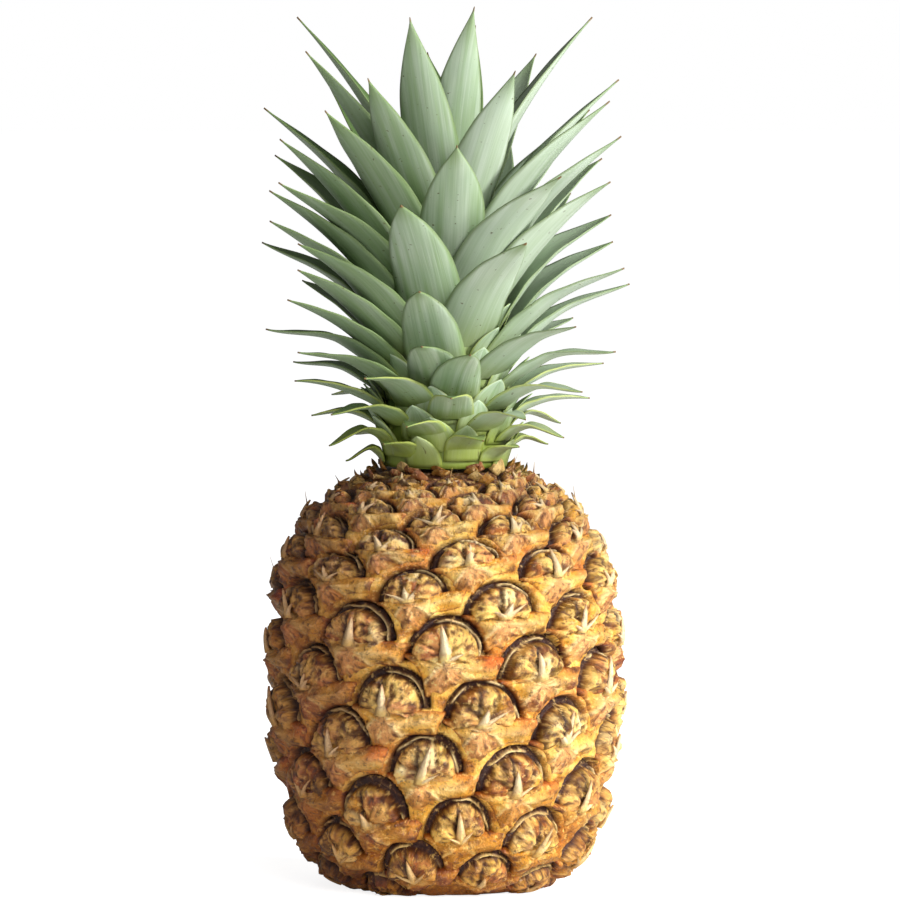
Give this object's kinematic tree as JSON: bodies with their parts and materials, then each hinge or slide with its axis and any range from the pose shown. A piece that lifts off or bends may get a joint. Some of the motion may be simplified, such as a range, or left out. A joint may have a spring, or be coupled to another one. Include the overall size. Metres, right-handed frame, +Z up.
{
  "type": "pineapple",
  "caption": "Whole ripe pineapple standing on its base: golden brown barrel of spiralling eyes under a crown of stiff, pointed grey-green leaves.",
  "frame": {"origin": "middle of the flat spot on which the fruit rests, on the ground", "axes": "+Z up along the fruit to the crown's tip, -Y to the front, +X to the front's right"},
  "size_m": [0.1293, 0.1325, 0.318],
  "materials": {
    "rind": "rough, waxy between the eyes",
    "leaf_base": "satin",
    "leaf": "satin with a waxy bloom"
  },
  "bodies": {
    "root": {"fruit": "rind", "crown_stem": "leaf_base", "leaf_01": "leaf", "leaf_02": "leaf", "leaf_03": "leaf", "leaf_04": "leaf", "leaf_05": "leaf", "leaf_06": "leaf", "leaf_07": "leaf", "leaf_08": "leaf", "leaf_09": "leaf", "leaf_10": "leaf", "leaf_11": "leaf", "leaf_12": "leaf", "leaf_13": "leaf", "leaf_14": "leaf", "leaf_15": "leaf", "leaf_16": "leaf", "leaf_17": "leaf", "leaf_18": "leaf", "leaf_19": "leaf", "leaf_20": "leaf", "leaf_21": "leaf", "leaf_22": "leaf", "leaf_23": "leaf", "leaf_24": "leaf", "leaf_25": "leaf", "leaf_26": "leaf", "leaf_27": "leaf", "leaf_28": "leaf", "leaf_29": "leaf", "leaf_30": "leaf", "leaf_31": "leaf", "leaf_32": "leaf", "leaf_33": "leaf", "leaf_34": "leaf", "leaf_35": "leaf", "leaf_36": "leaf", "leaf_37": "leaf", "leaf_38": "leaf", "leaf_39": "leaf", "leaf_40": "leaf", "leaf_41": "leaf", "leaf_42": "leaf", "leaf_43": "leaf", "leaf_44": "leaf", "leaf_45": "leaf", "leaf_46": "leaf", "leaf_47": "leaf", "leaf_48": "leaf", "leaf_49": "leaf", "leaf_50": "leaf", "leaf_51": "leaf", "leaf_52": "leaf", "leaf_53": "leaf", "leaf_54": "leaf", "leaf_55": "leaf", "leaf_56": "leaf", "leaf_57": "leaf", "leaf_58": "leaf"}
  },
  "joints": []
}
